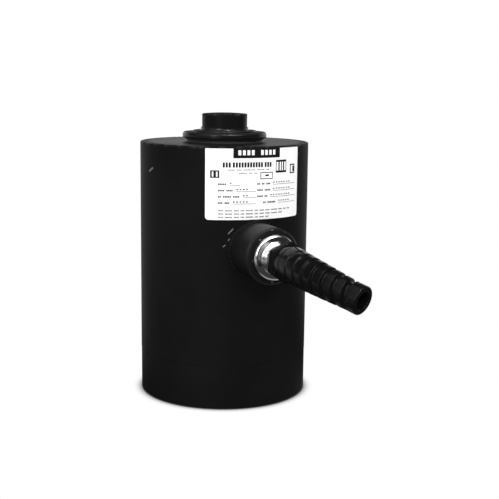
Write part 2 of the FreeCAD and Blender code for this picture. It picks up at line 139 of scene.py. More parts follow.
def blend_colour(tree, mask, first, second):
    made = tree.nodes.new("ShaderNodeMix")
    made.data_type = "RGBA"
    feed(tree, made.inputs["Factor"], mask)
    for name, value in (("A", first), ("B", second)):
        socket = [one for one in made.inputs if one.name == name and one.type == "RGBA"][0]
        feed(tree, socket, (*value, 1) if isinstance(value, tuple) and len(value) == 3 else value)
    return [one for one in made.outputs if one.type == "RGBA"][0]


def grey(tone):
    return (tone, tone, tone)


def shaded(colour, share):
    return tuple(share * part for part in colour)


# Effects shared by several finishes
def new_group(name, inputs, output):
    tree = bpy.data.node_groups.new(name, "ShaderNodeTree")
    for label, value in inputs:
        kind = "NodeSocketVector" if isinstance(value, tuple) else "NodeSocketFloat"
        socket = tree.interface.new_socket(label, in_out="INPUT", socket_type=kind)
        socket.default_value = value
    tree.interface.new_socket(output, in_out="OUTPUT", socket_type="NodeSocketFloat")
    given = tree.nodes.new("NodeGroupInput").outputs
    result = tree.nodes.new("NodeGroupOutput").inputs[0]
    return tree, given, result


def make_mottle():
    tree, given, result = new_group("mottle", [("Vector", (0, 0, 0)), ("Scale", 40.0), ("Low", 0.0),
                                               ("High", 1.0)], "Value")
    cloud = add(tree, "TexNoise", Vector=given["Vector"], Scale=given["Scale"], Detail=4.0)
    tree.links.new(ramp(tree, cloud.outputs["Fac"], 0.3, 0.7, given["Low"], given["High"]), result)
    return tree


def make_skin():
    tree, given, result = new_group("spray_skin", [("Vector", (0, 0, 0)), ("Ripple", 900.0),
                                                   ("Grain", 3200.0), ("Share", 0.3)], "Height")
    ripple = add(tree, "TexNoise", Vector=given["Vector"], Scale=given["Ripple"], Detail=1.0)
    grain = add(tree, "TexNoise", Vector=given["Vector"], Scale=given["Grain"], Detail=1.0)
    extra = calc(tree, "MULTIPLY", grain.outputs["Fac"], given["Share"])
    tree.links.new(calc(tree, "ADD", ripple.outputs["Fac"], extra), result)
    return tree


def make_specks():
    tree, given, result = new_group("specks", [("Vector", (0, 0, 0)), ("Scale", 300.0), ("Size", 0.15),
                                               ("Share", 0.1)], "Mask")
    cells = add(tree, "TexVoronoi", Vector=given["Vector"], Scale=given["Scale"])
    inside = calc(tree, "LESS_THAN", cells.outputs["Distance"], given["Size"])
    pick = add(tree, "SeparateColor", Color=cells.outputs["Color"])
    chosen = calc(tree, "LESS_THAN", pick.outputs[0], given["Share"])
    tree.links.new(calc(tree, "MULTIPLY", inside, chosen), result)
    return tree


def make_turning():
    # fine rings left by a lathe, round the Z axis of the vector given
    tree, given, result = new_group("turning_rings", [("Vector", (0, 0, 0)), ("Scale", 4000.0)], "Height")
    parts = add(tree, "SeparateXYZ", Vector=given["Vector"])
    flat = add(tree, "CombineXYZ", X=parts.outputs["X"], Y=parts.outputs["Y"])
    out = vector_calc(tree, "LENGTH", flat.outputs[0])
    place = add(tree, "CombineXYZ", X=out, Y=parts.outputs["Z"])
    lines = add(tree, "TexNoise", {"noise_dimensions": "2D"}, Vector=place.outputs[0],
                Scale=given["Scale"], Detail=2.0)
    tree.links.new(lines.outputs["Fac"], result)
    return tree


def make_bruise_and_glint():
    # a ragged light mark along a short line between two places, used for nicks and for painted glints
    tree, given, result = new_group("bruise_and_glint", [("Vector", (0, 0, 0)), ("From", (0, 0, 0)),
                                               ("To", (0, 0, 1)), ("Width", 0.001)], "Mask")
    line = vector_calc(tree, "SUBTRACT", given["To"], given["From"])
    away = vector_calc(tree, "SUBTRACT", given["Vector"], given["From"])
    length = calc(tree, "MAXIMUM", vector_calc(tree, "DOT_PRODUCT", line, line), 1e-9)
    along = calc(tree, "DIVIDE", vector_calc(tree, "DOT_PRODUCT", away, line), length)
    share = ramp(tree, along, 0.0, 1.0)
    stretch = add(tree, "VectorMath", {"operation": "SCALE"})
    tree.links.new(line, stretch.inputs[0])
    tree.links.new(share, stretch.inputs["Scale"])
    gap = vector_calc(tree, "DISTANCE", away, stretch.outputs[0])
    ragged = add(tree, "TexNoise", Vector=given["Vector"], Scale=2500.0, Detail=2.0)
    reach = calc(tree, "MULTIPLY", given["Width"], ramp(tree, ragged.outputs["Fac"], 0.3, 0.7, 0.4, 1.3))
    tree.links.new(ramp(tree, gap, calc(tree, "MULTIPLY", reach, 0.5), reach, 1.0, 0.0), result)
    return tree


def make_edge_wear():
    # paint rubbed thin along a round edge at one height and radius about Z
    tree, given, result = new_group("edge_wear", [("Vector", (0, 0, 0)), ("Radius", 0.05),
                                                  ("Height", 0.1), ("Reach", 0.001),
                                                  ("Amount", 0.3)], "Mask")
    parts = add(tree, "SeparateXYZ", Vector=given["Vector"])
    flat = add(tree, "CombineXYZ", X=parts.outputs["X"], Y=parts.outputs["Y"])
    out = calc(tree, "SUBTRACT", vector_calc(tree, "LENGTH", flat.outputs[0]), given["Radius"])
    rise = calc(tree, "SUBTRACT", parts.outputs["Z"], given["Height"])
    place = add(tree, "CombineXYZ", X=out, Y=rise)
    gap = vector_calc(tree, "LENGTH", place.outputs[0])
    near = ramp(tree, gap, 0.0, given["Reach"], 1.0, 0.0)
    rubbed = add(tree, "TexNoise", Vector=given["Vector"], Scale=260.0, Detail=5.0)
    patchy = ramp(tree, rubbed.outputs["Fac"], 0.5, 0.62)
    tree.links.new(calc(tree, "MULTIPLY", calc(tree, "MULTIPLY", near, patchy), given["Amount"]), result)
    return tree


mottle = make_mottle()
spray_skin = make_skin()
specks = make_specks()
turning_rings = make_turning()
bruise_and_glint = make_bruise_and_glint()
edge_wear = make_edge_wear()


def use(tree, group, **inputs):
    made = tree.nodes.new("ShaderNodeGroup")
    made.node_tree = group
    for name, value in inputs.items():
        feed(tree, made.inputs[name], value)
    return made.outputs[0]


def new_material(name, metallic=None, roughness=None, ior=None):
    material = bpy.data.materials.new(name)
    material.use_nodes = True
    tree = material.node_tree
    shader = tree.nodes["Principled BSDF"]
    for socket, value in (("Metallic", metallic), ("Roughness", roughness), ("IOR", ior)):
        if value is not None:
            shader.inputs[socket].default_value = value
    return material, tree, shader.inputs


def object_place(tree, centre=None, turn=(0, 0, 0)):
    place = tree.nodes.new("ShaderNodeTexCoord").outputs["Object"]
    if centre is None:
        return place
    mapping = tree.nodes.new("ShaderNodeMapping")
    mapping.vector_type = "TEXTURE"
    mapping.inputs["Location"].default_value = centre
    mapping.inputs["Rotation"].default_value = turn
    tree.links.new(place, mapping.inputs["Vector"])
    return mapping.outputs["Vector"]


def raise_skin(tree, inputs, height, strength, distance):
    bump = add(tree, "Bump", Height=height, Strength=strength, Distance=distance)
    tree.links.new(bump.outputs["Normal"], inputs["Normal"])


def varied(tree, place, low, high, scale):
    return use(tree, mottle, Vector=place, Scale=scale, Low=low, High=high)


def mottled(tree, place, first, second, scale):
    return blend_colour(tree, varied(tree, place, 0.0, 1.0, scale), first, second)


def specked(tree, place, colour, speck, strength, scale, size, share):
    dots = use(tree, specks, Vector=place, Scale=scale, Size=size, Share=share)
    return blend_colour(tree, calc(tree, "MULTIPLY", dots, strength), colour, speck)


# How far a black finish strays from its own tone
darker = 0.85
lighter = 1.15

# Light marks on the can's paint, each from one place to another, with a half-width: a nick, a small mark
# above the boss, and three painted glints beside the weld
can_marks_and_glints = [((-0.05333, -0.00847, 0.14505), (-0.05260, -0.01224, 0.14721), 0.0009),
               ((-0.00115, -0.05399, 0.11818), (-0.00150, -0.05399, 0.11800), 0.0005),
               # painted glints: these three light marks beside the weld stand in for highlights on the
               # weld bead's ripples
               ((-0.01765, -0.05103, 0.11029), (-0.01515, -0.05183, 0.11295), 0.0005),
               ((-0.01768, -0.05102, 0.10603), (-0.01712, -0.05122, 0.10713), 0.0004),
               ((-0.02041, -0.04999, 0.10224), (-0.01952, -0.05035, 0.10310), 0.0005)]

# Nicks in the boss's end face, each with its X, Z and width
boss_nicks = [(-0.00121, 0.11548, 0.0005), (0.00719, 0.11388, 0.0004), (-0.00891, 0.11000, 0.0006),
              (-0.01311, 0.09787, 0.0004), (-0.00069, 0.08443, 0.0004)]
boss_marks = [((x, -boss_end, z), (x + width, -boss_end, z), width) for x, z, width in boss_nicks]

# Dust specks, wear, light marks with painted glints, and painted fill light under the seal's lip in the
# black paint, with lengths in millimetres
speck_tone = grey(0.06)
lip_fill_light_tone = grey(0.045)
rubbed_tone = grey(0.12)
mark_and_glint_tone = grey(0.16)
lip_thick = 3.0
fill_light_edge = 0.4
fill_light_width = 2.0
rubbed_reach = 1.6
matt_roughness = 0.75
matt_within = 0.1
gloss_beyond = 0.3
lip_foot = 25.5


def black_paint(name, roughness, tone, ior, marks=(), skin=0.35, fill_light_radius=None, matt_height=None):
    material, tree, inputs = new_material(name, metallic=0.0, ior=ior)
    place = object_place(tree)
    colour = mottled(tree, place, grey(tone * darker), grey(tone * lighter), scale=30.0)
    colour = specked(tree, place, colour, speck_tone, strength=0.2, scale=700.0, size=0.16, share=0.05)
    if fill_light_radius:
        # painted light: the shaded corner under the seal's lip gets a lighter colour, standing in for
        # light that lifts its shade
        parts = add(tree, "SeparateXYZ", Vector=place)
        flat = add(tree, "CombineXYZ", X=parts.outputs["X"], Y=parts.outputs["Y"])
        out = vector_calc(tree, "LENGTH", flat.outputs[0])
        under = ramp(tree, parts.outputs["Z"], lip_top - (lip_thick + fill_light_edge) * mm,
                     lip_top - lip_thick * mm, 1.0, 0.0)
        near = ramp(tree, out, fill_light_radius * mm, (fill_light_radius + fill_light_width) * mm, 1.0, 0.0)
        colour = blend_colour(tree, calc(tree, "MULTIPLY", under, near), colour, lip_fill_light_tone)
    wear = use(tree, edge_wear, Vector=place, Radius=body_radius, Height=body_top,
               Reach=rubbed_reach * mm, Amount=0.35)
    colour = blend_colour(tree, wear, colour, rubbed_tone)
    dents_and_glints = None
    # light marks: nicks, and on the can also painted glints beside the weld
    for start, end, width in marks:
        mark = use(tree, bruise_and_glint, Vector=place, From=start, To=end, Width=width)
        colour = blend_colour(tree, mark, colour, mark_and_glint_tone)
        dents_and_glints = mark if dents_and_glints is None else calc(tree, "MAXIMUM", dents_and_glints, mark)
    tree.links.new(colour, inputs["Base Color"])
    finish = varied(tree, place, *roughness, scale=18.0)
    if matt_height:
        # the flat top has dulled, its rounded edges keep their gloss
        level = add(tree, "SeparateXYZ", Vector=place).outputs["Z"]
        gap = calc(tree, "ABSOLUTE", calc(tree, "SUBTRACT", level, matt_height))
        dull = ramp(tree, gap, matt_within * mm, gloss_beyond * mm, matt_roughness, 0.0)
        finish = calc(tree, "MAXIMUM", finish, dull)
    tree.links.new(finish, inputs["Roughness"])
    height = use(tree, spray_skin, Vector=place, Ripple=850.0, Grain=3000.0, Share=0.35)
    if dents_and_glints is not None:
        height = calc(tree, "SUBTRACT", height, dents_and_glints)
    raise_skin(tree, inputs, height, strength=skin, distance=0.00012)
    return material


def turned_metal(name, colour, roughness, rings, depth, dull, centre=(0, 0, 0), turn=(0, 0, 0)):
    material, tree, inputs = new_material(name, metallic=1.0)
    place = object_place(tree, centre, turn)
    tone = mottled(tree, place, colour, shaded(colour, dull), scale=120.0)
    spot = shaded(colour, 0.3)
    tone = specked(tree, place, tone, spot, strength=0.5, scale=700.0, size=0.2, share=0.08)
    tree.links.new(tone, inputs["Base Color"])
    finish = varied(tree, place, roughness * 0.8, roughness * 1.25, scale=200.0)
    tree.links.new(finish, inputs["Roughness"])
    height = use(tree, turning_rings, Vector=place, Scale=rings)
    raise_skin(tree, inputs, height, strength=depth, distance=0.00005)
    return material


def moulded(name, colour, roughness, grain, ior=1.5):
    material, tree, inputs = new_material(name, metallic=0.0, ior=ior)
    place = object_place(tree)
    tone = mottled(tree, place, shaded(colour, darker), shaded(colour, lighter), scale=90.0)
    tone = specked(tree, place, tone, grey(0.15), strength=0.2, scale=500.0, size=0.14, share=0.06)
    tree.links.new(tone, inputs["Base Color"])
    finish = varied(tree, place, roughness * 0.85, roughness * 1.2, scale=60.0)
    tree.links.new(finish, inputs["Roughness"])
    height = use(tree, spray_skin, Vector=place, Ripple=1200.0, Grain=5000.0, Share=0.4)
    raise_skin(tree, inputs, height, strength=grain, distance=0.00005)
    return material


# The button: how high it is blacked, and where its rubbed and dulled edge lies, in millimetres
black_from = 4.0
black_full = 6.0
button_radius = 14.5
button_edge = 0.8
button_rub = 1.4
sheen_end = 2.0
dull_start = 0.9
side_roughness = 0.30
top_roughness = 0.75


def column_finish():
    # ground steel inside, blacked where the button stands out of the can
    material, tree, inputs = new_material("blacked_button", ior=1.13)
    place = object_place(tree)
    level = add(tree, "SeparateXYZ", Vector=place).outputs["Z"]
    black = ramp(tree, level, body_top + black_from * mm, body_top + black_full * mm)
    steel = mottled(tree, place, grey(0.42), grey(0.52), scale=90.0)
    dark = mottled(tree, place, grey(0.0065), grey(0.0085), scale=90.0)
    rub = use(tree, edge_wear, Vector=place, Radius=button_radius * mm,
              Height=button_top - button_edge * mm, Reach=button_rub * mm, Amount=0.5)
    dark = blend_colour(tree, rub, dark, grey(0.10))
    tree.links.new(blend_colour(tree, black, steel, dark), inputs["Base Color"])
    tree.links.new(ramp(tree, black, 0.0, 1.0, 1.0, 0.0), inputs["Metallic"])
    matt = ramp(tree, level, button_top - sheen_end * mm, button_top - dull_start * mm,
                side_roughness, top_roughness)
    sheen = varied(tree, place, -0.03, 0.03, scale=60.0)
    tree.links.new(calc(tree, "ADD", matt, sheen), inputs["Roughness"])
    height = use(tree, turning_rings, Vector=place, Scale=3500.0)
    raise_skin(tree, inputs, height, strength=0.25, distance=0.00004)
    return material


def label_finish():
    material, tree, inputs = new_material("label_plate", metallic=0.0, ior=1.45)
    place = object_place(tree)
    colour = mottled(tree, place, grey(0.93), grey(0.96), scale=70.0)
    colour = specked(tree, place, colour, grey(0.4), strength=0.25, scale=260.0, size=0.12, share=0.06)
    tree.links.new(colour, inputs["Base Color"])
    tree.links.new(varied(tree, place, 0.38, 0.5, scale=50.0), inputs["Roughness"])
    height = use(tree, spray_skin, Vector=place, Ripple=600.0, Grain=3000.0, Share=0.2)
    raise_skin(tree, inputs, height, strength=0.1, distance=0.00003)
    return material


def ink(name, tone, thin):
    # the plate shows through where the ink is thin
    material, tree, inputs = new_material(name, metallic=0.0, ior=1.2)
    place = object_place(tree)
    patchy = varied(tree, place, 0.0, thin, scale=1800.0)
    tree.links.new(blend_colour(tree, patchy, grey(tone), grey(0.6)), inputs["Base Color"])
    tree.links.new(varied(tree, place, 0.4, 0.55, scale=300.0), inputs["Roughness"])
    return material


def board_finish():
    material, tree, inputs = new_material("glass_board", metallic=0.0, ior=1.5)
    place = object_place(tree)
    weave = add(tree, "TexChecker", Vector=place, Scale=1400.0)
    green = mottled(tree, place, (0.02, 0.09, 0.03), (0.03, 0.12, 0.04), scale=60.0)
    threads = ramp(tree, weave.outputs["Fac"], 0.0, 1.0, 0.0, 0.15)
    tree.links.new(blend_colour(tree, threads, green, (0.08, 0.2, 0.09)), inputs["Base Color"])
    tree.links.new(varied(tree, place, 0.3, 0.45, scale=90.0), inputs["Roughness"])
    return material


def foil_finish():
    # copper-nickel foil lines on amber film, running up the gauge
    material, tree, inputs = new_material("gauge_foil", ior=1.5)
    place = object_place(tree)
    lines = add(tree, "TexWave", {"bands_direction": "Z"}, Vector=place, Scale=900.0)
    foil = ramp(tree, lines.outputs["Fac"], 0.45, 0.55)
    tone = blend_colour(tree, foil, (0.45, 0.20, 0.05), (0.62, 0.45, 0.32))
    tree.links.new(tone, inputs["Base Color"])
    tree.links.new(foil, inputs["Metallic"])
    tree.links.new(varied(tree, place, 0.3, 0.45, scale=400.0), inputs["Roughness"])
    return material


finishes = {
    "body_paint": black_paint("black_paint", roughness=(0.42, 0.50), tone=0.0070, ior=1.09,
                              marks=can_marks_and_glints),
    "column_steel": column_finish(),
    "steel": turned_metal("turned_steel", grey(0.50), roughness=0.32, rings=3500.0, depth=0.3, dull=0.85),
    "screw_steel": turned_metal("screw_steel", (0.42, 0.41, 0.40), roughness=0.38, rings=2500.0,
                                depth=0.2, dull=0.8),
    "board": board_finish(),
    "nickel_brass": turned_metal("nickel_brass", (0.66, 0.62, 0.54), roughness=0.28, rings=3000.0,
                                 depth=0.2, dull=0.9),
    "pin_brass": turned_metal("pin_brass", (0.72, 0.52, 0.25), roughness=0.28, rings=3000.0,
                              depth=0.2, dull=0.85),
    "resistor": moulded("resistor_coat", (0.10, 0.05, 0.03), roughness=0.45, grain=0.2),
    "wire_coat": moulded("wire_coat", (0.30, 0.03, 0.02), roughness=0.4, grain=0.15),
    "gauge_foil": foil_finish(),
    "seal_rubber": moulded("seal_rubber", grey(0.012), roughness=0.65, grain=0.4, ior=1.45),
    "bright_nickel": turned_metal("bright_nickel", grey(0.92), roughness=0.15, rings=2500.0, depth=0.04,
                                  dull=0.95, centre=(0, 0, gland_height), turn=(math.radians(90), 0, 0)),
    "boot_nylon": moulded("boot_nylon", grey(0.0050), roughness=0.18, grain=0.02, ior=1.22),
    "label_white": label_finish(),
}
bead_paint = black_paint("bead_paint", roughness=(0.24, 0.32), tone=0.0075, ior=1.12)
own_finish = {
    # the plate and the lip get painted fill light in the shaded corner under the seal's lip
    "top_plate": black_paint("plate_paint", roughness=(0.36, 0.42), tone=0.0083, ior=1.12, skin=1.0,
                             fill_light_radius=lip_foot),
    "seal_diaphragm": black_paint("seal_black", roughness=(0.20, 0.26), tone=0.0080, ior=1.35,
                                  matt_height=disc_top),
    "seal_ring": black_paint("lip_black", roughness=(0.20, 0.26), tone=0.0080, ior=1.3,
                             fill_light_radius=lip_foot, matt_height=lip_top),
    "gland_boss": black_paint("boss_paint", roughness=(0.38, 0.48), tone=0.0083, ior=1.25,
                              marks=boss_marks),
    "gland_weld": bead_paint,
}
nut_nylon = moulded("nut_nylon", grey(0.005), roughness=0.36, grain=0.05, ior=1.08)
print_black = ink("print_black", tone=0.004, thin=0.01)
print_faint = ink("print_faint", tone=0.25, thin=0.9)


def dress(piece, material):
    piece.data.materials.clear()
    piece.data.materials.append(material)


for part in frame["record"]["subparts"]:
    dress(nodes[part["node"]], own_finish.get(part["node"], finishes[part["material_slot"]]))


# Helpers for new pieces
def made_piece(name):
    piece = bpy.context.object
    piece.name = name
    piece.data.name = name
    return piece


def apply_modifier(piece, kind, **settings):
    bpy.context.view_layer.objects.active = piece
    modifier = piece.modifiers.new(kind.lower(), kind)
    for name, value in settings.items():
        setattr(modifier, name, value)
    bpy.ops.object.modifier_apply(modifier=modifier.name)


merge_gap = 1e-7


def tidy_mesh(piece, gap):
    bpy.ops.object.select_all(action="DESELECT")
    piece.select_set(True)
    bpy.context.view_layer.objects.active = piece
    bpy.ops.object.mode_set(mode="EDIT")
    bpy.ops.mesh.select_all(action="SELECT")
    bpy.ops.mesh.remove_doubles(threshold=gap)
    bpy.ops.mesh.normals_make_consistent(inside=False)
    bpy.ops.object.mode_set(mode="OBJECT")


def pick_faces(piece, wanted):
    # leaves only these faces selected
    bpy.ops.object.mode_set(mode="EDIT")
    bpy.ops.mesh.select_mode(type="FACE")
    bpy.ops.mesh.select_all(action="DESELECT")
    bpy.ops.object.mode_set(mode="OBJECT")
    for face in piece.data.polygons:
        face.select = wanted(face)
    bpy.ops.object.mode_set(mode="EDIT")


def finish_piece(piece, slot, material, smooth_angle, *stands_for):
    dress(piece, material)
    bpy.ops.object.select_all(action="DESELECT")
    piece.select_set(True)
    bpy.context.view_layer.objects.active = piece
    bpy.ops.object.shade_smooth_by_angle(angle=math.radians(smooth_angle))
    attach(piece, "root")
    if stands_for:
        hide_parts(*stands_for)
    piece.select_set(False)


# The label's print, in millimetres from the plate's left edge and from the floor
label_start_angle = -34.1
label_width = 64.6
label_thick = 0.3
print_cell = 0.25
print_lift = 0.01
print_thick = 0.04


def dash_row(start, end, low, high, letter, gap, words, space):
    # one row of short dashes, grouped like words
    blocks = []
    place = start
    count = 0
    while place < end - letter:
        for k in range(words[count % len(words)]):
            if place + letter <= end:
                blocks.append((place, place + letter, low, high))
            place += letter + gap
        place += space
        count += 1
    return blocks


def frame_of(left, right, low, high, side, bar):
    # a plain rectangle drawn with lines
    return [(left, right, high - bar, high), (left, right, low, low + bar),
            (left, left + side, low, high), (right - side, right, low, high)]


# A title bar with plain white blocks, then dashes, plain frames, ruled lines and rows of small dashes
title_bar = (16.75, 47.5, 155.5, 162.0)
title_blocks = []
for first in (19.75, 34.0):
    for k in range(4):
        title_blocks.append((first + 2.75 * k, first + 2.75 * k + 1.75, 157.25, 160.25))
black_blocks = dash_row(10.5, 42.0, 150.0, 153.0, 1.25, 0.5, (3, 11, 3), 0.75)
black_blocks += frame_of(44.5, 53.0, 146.25, 154.0, 0.5, 1.25)
black_blocks += frame_of(56.5, 61.0, 145.25, 151.0, 0.75, 0.75)
black_blocks += frame_of(33.75, 42.25, 142.75, 147.0, 0.5, 0.5)
black_blocks += frame_of(3.0, 8.5, 143.75, 148.25, 1.0, 0.75)
black_blocks += [(37.0, 39.5, 144.5, 145.5), (59.0, 60.25, 146.5, 149.75), (5.0, 6.5, 144.5, 147.5)]
faint_blocks = [(46.5, 47.5, 147.5, 152.75), (48.5, 49.25, 147.5, 152.75), (50.25, 51.25, 147.5, 152.75)]
faint_blocks += dash_row(13.75, 39.5, 148.25, 148.75, 0.75, 0.25, (4, 3, 7, 5, 3), 1.25)
faint_blocks += dash_row(20.25, 32.0, 146.25, 146.75, 0.75, 0.25, (5, 2, 3), 1.25)


def print_line(start, end, height, words):
    # a few words in dashes, the first of them bold, and an entry in dashes over a ruled line
    length = sum(words) * 1.0 + len(words) * 1.0
    bold_end = start + words[0] * 1.0
    rest = words[1:] or (1,)
    low = height - 0.5
    high = height + 0.5
    black_blocks.extend(dash_row(start, bold_end, low, high, 0.75, 0.25, words[:1], 1.0))
    faint_blocks.extend(dash_row(bold_end + 1.0, start + length, low, high, 0.75, 0.25, rest, 1.0))
    entry = start + length + 1.0
    faint_blocks.extend(dash_row(entry, end - 4.0, height + 0.25, height + 1.0, 1.0, 1.0, (5,), 0.5))
    faint_blocks.append((entry, end, height - 0.75, height - 0.5))


for height, left_end, right_start, left_words, right_words in (
        (140.0, 21.0, 31.75, (5,), (2, 2, 3)), (136.25, 31.0, 31.75, (4, 4), (4, 4)),
        (132.5, 31.0, 31.75, (2, 5, 4), (4, 2)), (128.75, 31.0, 35.75, (3, 3), (2, 6))):
    print_line(7.75, left_end, height, left_words)
    print_line(right_start, 61.25, height, right_words)
for height, end in ((124.0, 56.25), (122.0, 50.75), (120.0, 39.5)):
    black_blocks += dash_row(8.0, end, height - 0.25, height + 0.5, 0.5, 0.25, (4, 6, 4, 3, 6, 3, 4), 1.0)


def inside(blocks, along, height):
    return any(left <= along <= right and low <= height <= high for left, right, low, high in blocks)


def make_print():
    # a grid of fine cells as large as the plate, of which only the printed ones stay
    columns = round(label_width / print_cell)
    rows = round((label_high.z - label_low.z) / mm / print_cell)
    bpy.ops.mesh.primitive_grid_add(x_subdivisions=columns, y_subdivisions=rows, size=1)
    sheet = made_piece("label_print")
    mesh = sheet.data
    bottom = label_low.z / mm
    bare = set()
    for face in mesh.polygons:
        along = (face.center.x + 0.5) * label_width
        height = bottom + (face.center.y + 0.5) * rows * print_cell
        in_bar = inside([title_bar], along, height) and not inside(title_blocks, along, height)
        if in_bar or inside(black_blocks, along, height):
            continue
        if inside(faint_blocks, along, height):
            face.material_index = 1
        else:
            bare.add(face.index)
    pick_faces(sheet, lambda face: face.index in bare)
    bpy.ops.mesh.delete(type="FACE")
    bpy.ops.object.mode_set(mode="OBJECT")
    plate_radius = body_radius + label_thick * mm
    out = plate_radius + print_lift * mm
    for vertex in mesh.vertices:
        along = (vertex.co.x + 0.5) * label_width * mm
        angle = math.radians(label_start_angle) + along / plate_radius
        height = bottom * mm + (vertex.co.y + 0.5) * rows * print_cell * mm
        vertex.co = (out * math.sin(angle), -out * math.cos(angle), height)
    apply_modifier(sheet, "SOLIDIFY", thickness=print_thick * mm, offset=0.0)
    finish_piece(sheet, "label_white", print_black, 30)
    mesh.materials.append(print_faint)


# The weld bead round the foot of the gland's boss: lapped, uneven in width, with a little slag
bead_leg = 1.85
bead_bury = 0.25
bead_steps = 240
bead_side_steps = 14
bead_laps = 27
bead_lean = 1.2
bead_width = 0.74
bead_uneven = 0.22
bead_swell = 0.92
lap_swell = 0.12
slag_swell = 0.22
bead_fatness = 0.8
bead_crown = 0.94
uneven_grain = 3.5
slag_grain = 14
bead_draw = 1.7
start_radius = 0.0005


def bead_side(share, size):
    # out of the corner the bead swells, behind it the metal is sunk a little
    return share ** bead_fatness * size if share > 0 else share * bead_bury * mm


def bead_point(angle, turn):
    # angle goes round the boss, turn round the bead's own section
    sine = math.sin(angle)
    cosine = math.cos(angle)
    roll = math.sin(turn)
    radial = Vector((cosine, 0, sine))
    across = boss_radius * cosine
    reach = math.sqrt(body_radius ** 2 - across ** 2)
    foot = Vector((across, -reach, gland_height + boss_radius * sine))
    wall = Vector((across, -reach, 0)).normalized()
    along_can = (radial - wall * radial.dot(wall)).normalized()
    along_boss = Vector((0, -1, 0))
    lap = abs(math.sin(angle * bead_laps + bead_lean * roll))
    uneven = noise.noise(Vector((uneven_grain * cosine, uneven_grain * sine, bead_draw)))
    slag = noise.noise(Vector((slag_grain * cosine, slag_grain * sine, bead_lean * roll)))
    size = bead_leg * mm * (bead_width + bead_uneven * uneven)
    size *= bead_swell + lap_swell * lap + slag_swell * slag
    spread = bead_side(math.cos(turn), size)
    rise = bead_side(roll, size)
    if spread > 0 and rise > 0:
        spread *= bead_crown
        rise *= bead_crown
    return foot + along_can * min(spread, bead_leg * mm) + along_boss * min(rise, bead_leg * mm)


def make_weld_bead():
    bpy.ops.mesh.primitive_torus_add(major_segments=bead_steps, minor_segments=bead_side_steps,
                                     major_radius=boss_radius, minor_radius=start_radius)
    bead = made_piece("weld_bead")
    for vertex in bead.data.vertices:
        angle = math.atan2(vertex.co.y, vertex.co.x)
        out = Vector((vertex.co.x, vertex.co.y, 0)).length - boss_radius
        vertex.co = bead_point(angle, math.atan2(vertex.co.z, out))
    tidy_mesh(bead, merge_gap)
    finish_piece(bead, "body_paint", bead_paint, 60, "gland_weld")


# The nickel gland in millimetres: a flange with a full round rim and a slightly coned face, and its hub
ring_radius = 0.02
flange_radius = 13.5
flange_foot = 0.4
rim_start = 1.2
rim_across = 1.9
rim_along = 1.6
face_fall = 0.3
hub_radius = 9.6
hub_fillet = 0.25
hub_shoulder = 10.1
shank_radius = 9.95
shank_length = 17.0
gland_bore = 5.6
collet_radius = 9.0
collet_length = 5.5
pocket_radius = 7.4
pocket_length = 6.0
shoulder_length = 0.5
gland_around = 144
rim_steps = 12


def gland_profile():
    # distance from the can's axis and radius, once round the section, in millimetres
    foot = flange_low / mm
    end = boot_start / mm
    rim = foot + rim_start
    face = rim + rim_along
    shank_end = boss_end / mm - shank_length
    points = [(shank_end, gland_bore), (shank_end, shank_radius), (foot, shank_radius),
              (foot, flange_radius - flange_foot), (foot + flange_foot, flange_radius)]
    for k in range(rim_steps + 1):
        angle = math.pi / 2 * k / rim_steps
        points.append((rim + rim_along * math.sin(angle),
                       flange_radius - rim_across * (1 - math.cos(angle))))
    face_foot = face + face_fall
    points += [(face_foot, hub_radius + hub_fillet), (face_foot + hub_fillet, hub_radius)]
    points += [(end - 2 * shoulder_length, hub_radius), (end - shoulder_length, hub_shoulder),
               (end, hub_shoulder), (end, collet_radius)]
    collet_end = end + collet_length
    pocket = collet_end - pocket_length
    return points + [(collet_end, collet_radius), (collet_end, pocket_radius), (pocket, pocket_radius),
                     (pocket, gland_bore)]


def make_gland():
    points = gland_profile()
    bpy.ops.mesh.primitive_torus_add(major_segments=gland_around, minor_segments=len(points),
                                     major_radius=ring_radius, minor_radius=ring_radius / 2)
    gland = made_piece("nickel_gland")
    for vertex in gland.data.vertices:
        angle = math.atan2(vertex.co.y, vertex.co.x)
        out = Vector((vertex.co.x, vertex.co.y, 0)).length - ring_radius
        step = round(math.atan2(vertex.co.z, out) / (2 * math.pi) * len(points)) % len(points)
        along, radius = points[step]
        vertex.co = (radius * mm * math.cos(angle), -along * mm,
                     gland_height + radius * mm * math.sin(angle))
    tidy_mesh(gland, merge_gap)
    finish_piece(gland, "bright_nickel", finishes["bright_nickel"], 25, "gland_body")


# The strain relief in millimetres and degrees: a spiral boot on a bent line, growing out of its hex nut
boot_radius = 10.6
boot_tip = 8.02
boot_bulge = 0.3
boot_root_radius = 10.3
root_length = 11.6
root_turn = 3.55
bend_length = 51.8
bend_turn = 27.9
bend_aim = -25.6
collar_length = 5.5
collar_radius = 8.15
collar_round = 1.0
bore_radius = 5.25
bore_round = 0.4
cavity_radius = 9.05
cavity_length = 7.0
collar_start = root_length + bend_length
boot_length = collar_start + collar_length
groove_pitch = 7.05
groove_turns = 7.4
groove_first = 10.4
groove_shallow = 0.3
groove_deep = 2.2
groove_half = 0.7
shoulder_first = 0.4
shoulder_last = 1.4
groove_fade = 0.12
boot_around = 112
row_step = 0.13
collar_steps = 11
round_steps = 7
lip_steps = 5
bore_steps = 30

nut_flats = 21.5
nut_turn = 24.9
nut_length = 6.1
nut_front = 1.1
nut_back = 0.3
nut_hole = 10.35
nut_gap = 0.1
nut_corner_cut = 0.6
nut_edge = 0.12
nut_around = 96


def bent(place, right, top, ahead, length, turn, aim, distance):
    # the place and directions after going along an arc that bends towards aim
    towards = right * math.cos(math.radians(aim)) + top * math.sin(math.radians(aim))
    radius = length / math.radians(turn)
    angle = distance / radius
    swing = Matrix.Rotation(angle, 3, ahead.cross(towards))
    moved = place + ahead * (radius * math.sin(angle)) + towards * (radius * (1 - math.cos(angle)))
    return moved, swing @ right, swing @ top, swing @ ahead


